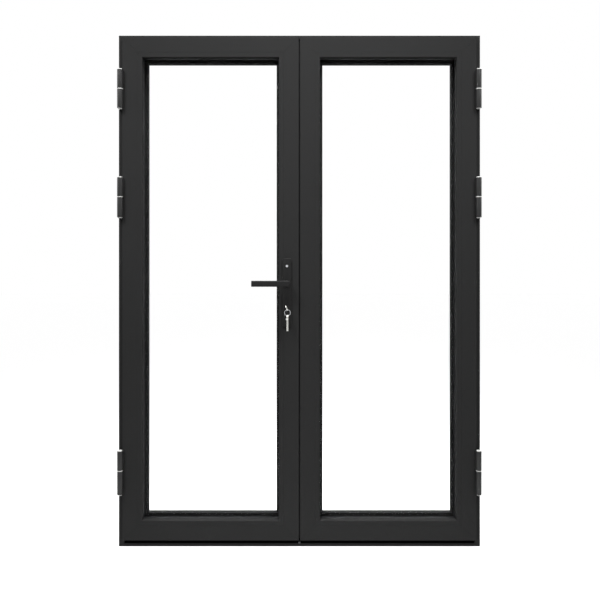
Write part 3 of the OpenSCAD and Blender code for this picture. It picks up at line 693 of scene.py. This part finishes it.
def key_blank(bow_r, thick, bow_at, blade_w, tip, teeth):
    """A flat key in the Y-Z plane at X 0: its bow is round and its thinner blade runs to the tip."""
    bow = round_bar(bow_r, (-thick / 2, 0, bow_at), (thick / 2, 0, bow_at), "X", 56)
    round_edges(bow, KEY_EDGE, 2, lambda middle, way: abs(way.x) < MOSTLY)
    half = thick / 2 - BLADE_STEP
    blade = block((-half, -blade_w / 2, min(tip, bow_at)), (half, blade_w / 2, max(tip, bow_at)))
    round_edges(blade, KEY_EDGE, 2, lambda middle, way: True)
    combine(bow, blade, "UNION")
    way = 1 if tip > bow_at else -1
    for step, deep in enumerate(teeth):
        z = tip - way * NOTCH_STEP * (step + 1)
        notch = block((-thick, blade_w / 2 - deep, z - NOTCH_HALF), (thick, blade_w / 2 + 1, z + NOTCH_HALF))
        combine(bow, notch, "DIFFERENCE")
    groove_low, groove_high = sorted((tip + way * GROOVE_PAST, bow_at + way * (bow_r - GROOVE_PAST)))
    near, far = GROOVE_SIDES
    for face in (-1, 1):
        x = face * thick / 2
        groove = block((x - GROOVE_DEEP, near, groove_low), (x + GROOVE_DEEP, far, groove_high))
        combine(bow, groove, "DIFFERENCE")
    return bow


def place_door_key():
    """The key in the lock: turned so that its blade runs into the plug, then tilted."""
    tip = CYL_FRONT + KEY_REACH - BOW_Y
    key = key_blank(BOW_R, BOW_T, 0.0, KEY_BLADE_W, tip, ())
    slot = block((-BOW_T, -BOW_R + BOW_RIM, -BOW_SLOT_HALF), (BOW_T, BOW_R - BOW_RIM, BOW_SLOT_HALF))
    round_edges(slot, BOW_SLOT_EDGE, 4, lambda middle, way: abs(way.x) > MOSTLY)
    combine(key, slot, "DIFFERENCE")
    key.rotation_euler = (-math.pi / 2, 0, 0)
    settle(key)
    key.rotation_euler = (0, -KEY_TILT, 0)
    settle(key)
    key.location = (HANDLE_X * MM, BOW_Y * MM, KEY_Z * MM)
    return shade(settle(key), 40)


def place_spare(offset, teeth):
    """One spare key, hanging edge-on from the ring."""
    hole_z = RING_Z - RING_R - SPARE_HOLE_DROP
    key = key_blank(SPARE_BOW_R, SPARE_T, -SPARE_BOW_DROP, SPARE_BLADE_W, SPARE_TIP, teeth)
    hole = round_bar(SPARE_HOLE_R, (-2 * SPARE_T, 0, 0), (2 * SPARE_T, 0, 0), "X", 40)
    combine(key, hole, "DIFFERENCE")
    key.location = ((RING_X + offset) * MM, BOW_Y * MM, hole_z * MM)
    return shade(settle(key), 40)


def split_ring():
    """Nearly two turns of round wire, one in front of the other."""
    deselect()
    bpy.ops.mesh.primitive_circle_add(
        vertices=20, radius=RING_WIRE_R * MM, fill_type="NOTHING",
        location=(RING_R * MM, 0, 0), rotation=(math.pi / 2, 0, 0),
    )
    ring = settle(bpy.context.active_object)
    coil = ring.modifiers.new("coil", "SCREW")
    coil.axis = "Z"
    coil.angle = RING_TURN
    coil.screw_offset = 2 * RING_WIRE_R * MM
    coil.steps = 160
    coil.render_steps = 160
    coil.use_smooth_shade = True
    apply_modifier(ring, coil)
    bpy.ops.object.mode_set(mode="EDIT")
    bpy.ops.mesh.select_all(action="SELECT")
    bpy.ops.mesh.remove_doubles(threshold=WELD_GAP * MM)
    bpy.ops.mesh.select_all(action="DESELECT")
    bpy.ops.mesh.select_mode(type="EDGE")
    bpy.ops.mesh.select_non_manifold()
    bpy.ops.mesh.edge_face_add()
    bpy.ops.mesh.select_all(action="SELECT")
    bpy.ops.mesh.normals_make_consistent(inside=False)
    bpy.ops.object.mode_set(mode="OBJECT")
    ring.rotation_euler = (math.pi / 2, 0, 0)
    settle(ring)
    ring.location = (RING_X * MM, (BOW_Y + RING_WIRE_R) * MM, RING_Z * MM)
    return settle(ring)


fit_out(place_door_key(), "key_in_lock", "key_set", "key_nickel", KEY_NICKEL, "door_key")
fit_out(
    join_all([place_spare(SPARE_PITCH * (i - 1), teeth) for i, teeth in enumerate(SPARE_TEETH)]),
    "hanging_keys", "key_set", "key_nickel", KEY_NICKEL, "spare_keys",
)
fit_out(split_ring(), "split_ring", "key_set", "bright_steel", BRIGHT_STEEL, "key_ring")


# Floor, light and camera. Sizes in metres

FLOOR_SIZE = 30.0
FLOOR_GAP = 0.0005
FLOOR_WHITE = 0.86
FLOOR_GLOW = 0.88
ROOM_FILL = 0.10
ROOM_SEEN = 1.0

# Place, aim, size, watts and fan in degrees of the lamps that stand in pairs, given for the right side
SIDE_LAMPS = {
    "inside": ((1.5, -1.6, 3.25), (0.55, 0.0, 1.2), (0.9, 0.9), 7.5, 75),
    "outside": ((1.5, 1.6, 3.25), (0.55, 0.0, 1.2), (0.9, 0.9), 4.5, 75),
    "end": ((2.6, -0.2, 2.2), (0.74, 0.0, 1.2), (0.6, 0.9), 3.0, 85),
}
OVERHEAD_LAMP = ((0.0, -0.6, 3.5), (0.0, -0.02, 0.5), (0.9, 0.6), 14.0, 90)

# Lens and sensor in millimetres, shift as a share of the picture's width
CAMERA_AT = (0.024, -2.445, 1.2005)
CAMERA_LENS = 35.16
CAMERA_SHIFT = (-0.0088, -0.0760)
SENSOR_WIDTH = 36.0


def stage_finish(name, white, glow):
    """A pale floor that looks white to the camera and still takes the shadow."""
    material, tree, skin, _ = new_material(name)
    skin.inputs["Base Color"].default_value = (white, white, white, 1)
    skin.inputs["Roughness"].default_value = 0.9
    skin.inputs["Specular IOR Level"].default_value = 0.1
    skin.inputs["Emission Color"].default_value = (1, 1, 1, 1)
    seen = seen_rays(tree)
    share = add_node(tree, "ShaderNodeMath", operation="MULTIPLY")
    share.inputs[1].default_value = glow
    tree.links.new(seen, share.inputs[0])
    tree.links.new(share.outputs["Value"], skin.inputs["Emission Strength"])
    return material


def seen_rays(tree):
    """1 for rays that show the background, straight or by gloss or glass, and 0 for light on the object."""
    path = add_node(tree, "ShaderNodeLightPath")
    straight = add_node(tree, "ShaderNodeMath", operation="MAXIMUM")
    either = add_node(tree, "ShaderNodeMath", operation="MAXIMUM")
    tree.links.new(path.outputs["Is Camera Ray"], straight.inputs[0])
    tree.links.new(path.outputs["Is Glossy Ray"], straight.inputs[1])
    tree.links.new(straight.outputs["Value"], either.inputs[0])
    tree.links.new(path.outputs["Is Transmission Ray"], either.inputs[1])
    unscattered = add_node(tree, "ShaderNodeMath", operation="LESS_THAN")
    unscattered.inputs[1].default_value = 0.5
    seen = add_node(tree, "ShaderNodeMath", operation="MULTIPLY")
    tree.links.new(path.outputs["Diffuse Depth"], unscattered.inputs[0])
    tree.links.new(either.outputs["Value"], seen.inputs[0])
    tree.links.new(unscattered.outputs["Value"], seen.inputs[1])
    return seen.outputs["Value"]


deselect()
bpy.ops.mesh.primitive_plane_add(size=FLOOR_SIZE, location=(0, 0, -FLOOR_GAP))
floor = bpy.context.active_object
floor.name = "studio_floor"
floor.data.materials.append(stage_finish("studio_white", FLOOR_WHITE, FLOOR_GLOW))


def softbox(name, at, aim, size, watts, fan):
    """A flat lamp whose light keeps to a fan about its aim."""
    data = bpy.data.lights.new(name, "AREA")
    data.shape = "RECTANGLE"
    data.size, data.size_y = size
    data.energy = watts
    data.spread = math.radians(fan)
    lamp = bpy.data.objects.new(name, data)
    bpy.context.scene.collection.objects.link(lamp)
    lamp.location = at
    lamp.rotation_euler = (Vector(aim) - Vector(at)).to_track_quat("-Z", "Y").to_euler()


def on_side(point, across):
    return (point[0] * across, *point[1:])


for side, across in zip(SIDES, (-1, 1)):
    for place, (at, aim, *rest) in SIDE_LAMPS.items():
        softbox(f"{side}_{place}_softbox", on_side(at, across), on_side(aim, across), *rest)
softbox("overhead_softbox", *OVERHEAD_LAMP)

world = bpy.data.worlds.new("studio")
bpy.context.scene.world = world
world.use_nodes = True
sky = world.node_tree
level = add_node(sky, "ShaderNodeMapRange")
level.inputs["To Min"].default_value = ROOM_FILL
level.inputs["To Max"].default_value = ROOM_SEEN
sky.links.new(seen_rays(sky), level.inputs["Value"])
sky.nodes["Background"].inputs["Color"].default_value = (1, 1, 1, 1)
sky.links.new(level.outputs["Result"], sky.nodes["Background"].inputs["Strength"])

camera_data = bpy.data.cameras.new("photo_camera")
camera_data.lens = CAMERA_LENS
camera_data.sensor_width = SENSOR_WIDTH
camera_data.shift_x, camera_data.shift_y = CAMERA_SHIFT
camera = bpy.data.objects.new("photo_camera", camera_data)
bpy.context.scene.collection.objects.link(camera)
camera.location = CAMERA_AT
camera.rotation_euler = (math.pi / 2, 0, 0)
bpy.context.scene.camera = camera

bpy.context.scene.view_settings.view_transform = "Standard"
